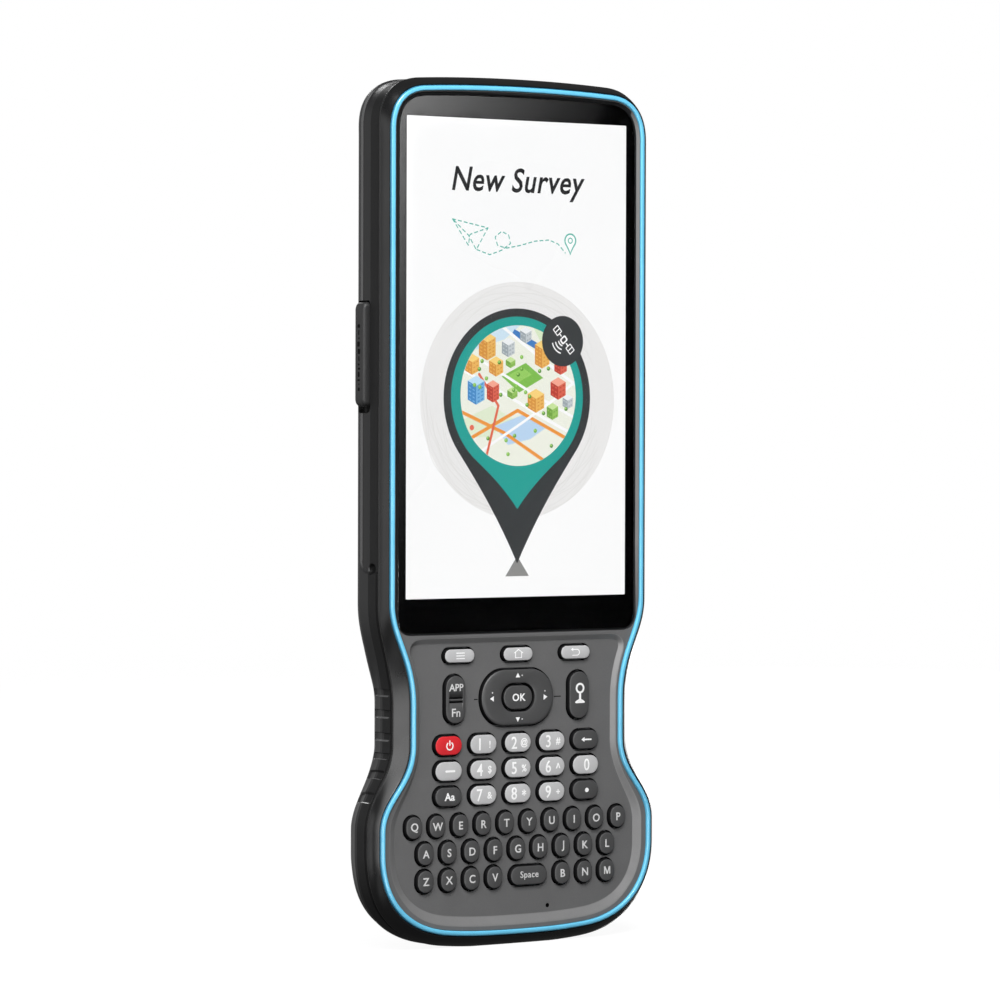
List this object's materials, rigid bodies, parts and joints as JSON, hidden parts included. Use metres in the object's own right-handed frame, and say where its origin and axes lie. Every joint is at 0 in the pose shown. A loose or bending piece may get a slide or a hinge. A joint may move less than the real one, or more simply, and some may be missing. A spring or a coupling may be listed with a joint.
{
  "type": "data collector",
  "caption": "Slim handheld field data collector with a tall touch display above a flared letter and number keypad, a bright trim ring and a waisted finger grip.",
  "frame": {"origin": "on the flat rear face of the rear housing, at mid length and mid width", "axes": "+Z along the body from the keypad end to the display end, -Y out of the display, +X to the right of somebody facing the display"},
  "size_m": [0.0884, 0.016, 0.2214],
  "materials": {
    "body_black": "fine-textured black polycarbonate with a soft sheen",
    "fascia_grey": "fine-textured mid grey",
    "trim_blue": "smooth sky blue",
    "cover_glass": "polished, black printed border",
    "display": "lit white page with a map pin graphic",
    "flap_rubber": "moulded black rubber",
    "key_dark": "satin dark grey",
    "key_silver": "satin silver grey",
    "key_red": "satin red",
    "silicone": "translucent grey silicone",
    "circuit_board": "green solder mask with black packages"
  },
  "bodies": {
    "housing": {"rear_housing": "body_black", "mid_frame": "body_black", "front_fascia": "fascia_grey", "trim_ring": "trim_blue", "cover_glass": "cover_glass", "display_panel": "display", "main_board": "circuit_board", "keypad_mat": "silicone"},
    "battery": {"battery_pack": "body_black"},
    "port_flap": {"port_cover": "flap_rubber"},
    "app_fn": {"app_fn_rocker": "key_dark"},
    "nav_pivot": {"nav_pivot": "silicone"},
    "nav_ring": {"nav_ring": "key_dark"},
    "key_menu": {"key_menu": "key_silver"},
    "key_home": {"key_home": "key_silver"},
    "key_back": {"key_back": "key_silver"},
    "key_ok": {"key_ok": "key_dark"},
    "key_measure": {"key_measure": "key_dark"},
    "key_power": {"key_power": "key_red"},
    "key_1": {"key_1": "key_silver"},
    "key_2": {"key_2": "key_silver"},
    "key_3": {"key_3": "key_silver"},
    "key_backspace": {"key_backspace": "key_dark"},
    "key_minus": {"key_minus": "key_silver"},
    "key_4": {"key_4": "key_silver"},
    "key_5": {"key_5": "key_silver"},
    "key_6": {"key_6": "key_silver"},
    "key_0": {"key_0": "key_silver"},
    "key_shift": {"key_shift": "key_dark"},
    "key_7": {"key_7": "key_silver"},
    "key_8": {"key_8": "key_silver"},
    "key_9": {"key_9": "key_silver"},
    "key_dot": {"key_dot": "key_dark"},
    "key_q": {"key_q": "key_dark"},
    "key_w": {"key_w": "key_dark"},
    "key_e": {"key_e": "key_dark"},
    "key_r": {"key_r": "key_dark"},
    "key_t": {"key_t": "key_dark"},
    "key_y": {"key_y": "key_dark"},
    "key_u": {"key_u": "key_dark"},
    "key_i": {"key_i": "key_dark"},
    "key_o": {"key_o": "key_dark"},
    "key_p": {"key_p": "key_dark"},
    "key_a": {"key_a": "key_dark"},
    "key_s": {"key_s": "key_dark"},
    "key_d": {"key_d": "key_dark"},
    "key_f": {"key_f": "key_dark"},
    "key_g": {"key_g": "key_dark"},
    "key_h": {"key_h": "key_dark"},
    "key_j": {"key_j": "key_dark"},
    "key_k": {"key_k": "key_dark"},
    "key_l": {"key_l": "key_dark"},
    "key_z": {"key_z": "key_dark"},
    "key_x": {"key_x": "key_dark"},
    "key_c": {"key_c": "key_dark"},
    "key_v": {"key_v": "key_dark"},
    "key_b": {"key_b": "key_dark"},
    "key_n": {"key_n": "key_dark"},
    "key_m": {"key_m": "key_dark"},
    "key_space": {"key_space": "key_dark"}
  },
  "joints": [
    {"name": "app_fn_rock", "type": "hinge", "parent": "housing", "child": "app_fn", "pos_m": [-0.0193, -0.0134, -0.04745], "axis": [1, 0, 0], "range_deg": [-2.6, 2.6], "stiffness_Nm_per_rad": 0.25},
    {"name": "battery_release", "type": "slide", "parent": "housing", "child": "battery", "axis": [0, 1, 0], "range_m": [0, 0.02]},
    {"name": "cover_swing", "type": "hinge", "parent": "housing", "child": "port_flap", "pos_m": [-0.0414, -0.005, 0.05275], "axis": [0, 1, 0], "range_deg": [0, 120], "stiffness_Nm_per_rad": 0.002},
    {"name": "dpad_rock_horizontal", "type": "hinge", "parent": "nav_pivot", "child": "nav_ring", "pos_m": [0, -0.0126, -0.04745], "axis": [0, 0, 1], "range_deg": [-2, 2], "stiffness_Nm_per_rad": 0.4},
    {"name": "dpad_rock_vertical", "type": "hinge", "parent": "housing", "child": "nav_pivot", "pos_m": [0, -0.0124, -0.04745], "axis": [1, 0, 0], "range_deg": [-2, 2], "stiffness_Nm_per_rad": 0.4},
    {"name": "key_menu_press", "type": "slide", "parent": "housing", "child": "key_menu", "axis": [0, 1, 0], "range_m": [0, 0.0005], "stiffness_N_per_m": 2500},
    {"name": "key_home_press", "type": "slide", "parent": "housing", "child": "key_home", "axis": [0, 1, 0], "range_m": [0, 0.0005], "stiffness_N_per_m": 2500},
    {"name": "key_back_press", "type": "slide", "parent": "housing", "child": "key_back", "axis": [0, 1, 0], "range_m": [0, 0.0005], "stiffness_N_per_m": 2500},
    {"name": "enter_ok_press", "type": "slide", "parent": "housing", "child": "key_ok", "axis": [0, 1, 0], "range_m": [0, 0.0005], "stiffness_N_per_m": 2500},
    {"name": "key_measure_press", "type": "slide", "parent": "housing", "child": "key_measure", "axis": [0, 1, 0], "range_m": [0, 0.0005], "stiffness_N_per_m": 2500},
    {"name": "key_power_press", "type": "slide", "parent": "housing", "child": "key_power", "axis": [0, 1, 0], "range_m": [0, 0.0005], "stiffness_N_per_m": 2500},
    {"name": "key_1_press", "type": "slide", "parent": "housing", "child": "key_1", "axis": [0, 1, 0], "range_m": [0, 0.0005], "stiffness_N_per_m": 2500},
    {"name": "key_2_press", "type": "slide", "parent": "housing", "child": "key_2", "axis": [0, 1, 0], "range_m": [0, 0.0005], "stiffness_N_per_m": 2500},
    {"name": "key_3_press", "type": "slide", "parent": "housing", "child": "key_3", "axis": [0, 1, 0], "range_m": [0, 0.0005], "stiffness_N_per_m": 2500},
    {"name": "key_backspace_press", "type": "slide", "parent": "housing", "child": "key_backspace", "axis": [0, 1, 0], "range_m": [0, 0.0005], "stiffness_N_per_m": 2500},
    {"name": "key_minus_press", "type": "slide", "parent": "housing", "child": "key_minus", "axis": [0, 1, 0], "range_m": [0, 0.0005], "stiffness_N_per_m": 2500},
    {"name": "key_4_press", "type": "slide", "parent": "housing", "child": "key_4", "axis": [0, 1, 0], "range_m": [0, 0.0005], "stiffness_N_per_m": 2500},
    {"name": "key_5_press", "type": "slide", "parent": "housing", "child": "key_5", "axis": [0, 1, 0], "range_m": [0, 0.0005], "stiffness_N_per_m": 2500},
    {"name": "key_6_press", "type": "slide", "parent": "housing", "child": "key_6", "axis": [0, 1, 0], "range_m": [0, 0.0005], "stiffness_N_per_m": 2500},
    {"name": "key_0_press", "type": "slide", "parent": "housing", "child": "key_0", "axis": [0, 1, 0], "range_m": [0, 0.0005], "stiffness_N_per_m": 2500},
    {"name": "key_shift_press", "type": "slide", "parent": "housing", "child": "key_shift", "axis": [0, 1, 0], "range_m": [0, 0.0005], "stiffness_N_per_m": 2500},
    {"name": "key_7_press", "type": "slide", "parent": "housing", "child": "key_7", "axis": [0, 1, 0], "range_m": [0, 0.0005], "stiffness_N_per_m": 2500},
    {"name": "key_8_press", "type": "slide", "parent": "housing", "child": "key_8", "axis": [0, 1, 0], "range_m": [0, 0.0005], "stiffness_N_per_m": 2500},
    {"name": "key_9_press", "type": "slide", "parent": "housing", "child": "key_9", "axis": [0, 1, 0], "range_m": [0, 0.0005], "stiffness_N_per_m": 2500},
    {"name": "key_dot_press", "type": "slide", "parent": "housing", "child": "key_dot", "axis": [0, 1, 0], "range_m": [0, 0.0005], "stiffness_N_per_m": 2500},
    {"name": "key_q_press", "type": "slide", "parent": "housing", "child": "key_q", "axis": [0, 1, 0], "range_m": [0, 0.0005], "stiffness_N_per_m": 2500},
    {"name": "key_w_press", "type": "slide", "parent": "housing", "child": "key_w", "axis": [0, 1, 0], "range_m": [0, 0.0005], "stiffness_N_per_m": 2500},
    {"name": "key_e_press", "type": "slide", "parent": "housing", "child": "key_e", "axis": [0, 1, 0], "range_m": [0, 0.0005], "stiffness_N_per_m": 2500},
    {"name": "key_r_press", "type": "slide", "parent": "housing", "child": "key_r", "axis": [0, 1, 0], "range_m": [0, 0.0005], "stiffness_N_per_m": 2500},
    {"name": "key_t_press", "type": "slide", "parent": "housing", "child": "key_t", "axis": [0, 1, 0], "range_m": [0, 0.0005], "stiffness_N_per_m": 2500},
    {"name": "key_y_press", "type": "slide", "parent": "housing", "child": "key_y", "axis": [0, 1, 0], "range_m": [0, 0.0005], "stiffness_N_per_m": 2500},
    {"name": "key_u_press", "type": "slide", "parent": "housing", "child": "key_u", "axis": [0, 1, 0], "range_m": [0, 0.0005], "stiffness_N_per_m": 2500},
    {"name": "key_i_press", "type": "slide", "parent": "housing", "child": "key_i", "axis": [0, 1, 0], "range_m": [0, 0.0005], "stiffness_N_per_m": 2500},
    {"name": "key_o_press", "type": "slide", "parent": "housing", "child": "key_o", "axis": [0, 1, 0], "range_m": [0, 0.0005], "stiffness_N_per_m": 2500},
    {"name": "key_p_press", "type": "slide", "parent": "housing", "child": "key_p", "axis": [0, 1, 0], "range_m": [0, 0.0005], "stiffness_N_per_m": 2500},
    {"name": "key_a_press", "type": "slide", "parent": "housing", "child": "key_a", "axis": [0, 1, 0], "range_m": [0, 0.0005], "stiffness_N_per_m": 2500},
    {"name": "key_s_press", "type": "slide", "parent": "housing", "child": "key_s", "axis": [0, 1, 0], "range_m": [0, 0.0005], "stiffness_N_per_m": 2500},
    {"name": "key_d_press", "type": "slide", "parent": "housing", "child": "key_d", "axis": [0, 1, 0], "range_m": [0, 0.0005], "stiffness_N_per_m": 2500},
    {"name": "key_f_press", "type": "slide", "parent": "housing", "child": "key_f", "axis": [0, 1, 0], "range_m": [0, 0.0005], "stiffness_N_per_m": 2500},
    {"name": "key_g_press", "type": "slide", "parent": "housing", "child": "key_g", "axis": [0, 1, 0], "range_m": [0, 0.0005], "stiffness_N_per_m": 2500},
    {"name": "key_h_press", "type": "slide", "parent": "housing", "child": "key_h", "axis": [0, 1, 0], "range_m": [0, 0.0005], "stiffness_N_per_m": 2500},
    {"name": "key_j_press", "type": "slide", "parent": "housing", "child": "key_j", "axis": [0, 1, 0], "range_m": [0, 0.0005], "stiffness_N_per_m": 2500},
    {"name": "key_k_press", "type": "slide", "parent": "housing", "child": "key_k", "axis": [0, 1, 0], "range_m": [0, 0.0005], "stiffness_N_per_m": 2500},
    {"name": "key_l_press", "type": "slide", "parent": "housing", "child": "key_l", "axis": [0, 1, 0], "range_m": [0, 0.0005], "stiffness_N_per_m": 2500},
    {"name": "key_z_press", "type": "slide", "parent": "housing", "child": "key_z", "axis": [0, 1, 0], "range_m": [0, 0.0005], "stiffness_N_per_m": 2500},
    {"name": "key_x_press", "type": "slide", "parent": "housing", "child": "key_x", "axis": [0, 1, 0], "range_m": [0, 0.0005], "stiffness_N_per_m": 2500},
    {"name": "key_c_press", "type": "slide", "parent": "housing", "child": "key_c", "axis": [0, 1, 0], "range_m": [0, 0.0005], "stiffness_N_per_m": 2500},
    {"name": "key_v_press", "type": "slide", "parent": "housing", "child": "key_v", "axis": [0, 1, 0], "range_m": [0, 0.0005], "stiffness_N_per_m": 2500},
    {"name": "key_b_press", "type": "slide", "parent": "housing", "child": "key_b", "axis": [0, 1, 0], "range_m": [0, 0.0005], "stiffness_N_per_m": 2500},
    {"name": "key_n_press", "type": "slide", "parent": "housing", "child": "key_n", "axis": [0, 1, 0], "range_m": [0, 0.0005], "stiffness_N_per_m": 2500},
    {"name": "key_m_press", "type": "slide", "parent": "housing", "child": "key_m", "axis": [0, 1, 0], "range_m": [0, 0.0005], "stiffness_N_per_m": 2500},
    {"name": "key_space_press", "type": "slide", "parent": "housing", "child": "key_space", "axis": [0, 1, 0], "range_m": [0, 0.0005], "stiffness_N_per_m": 2500}
  ]
}
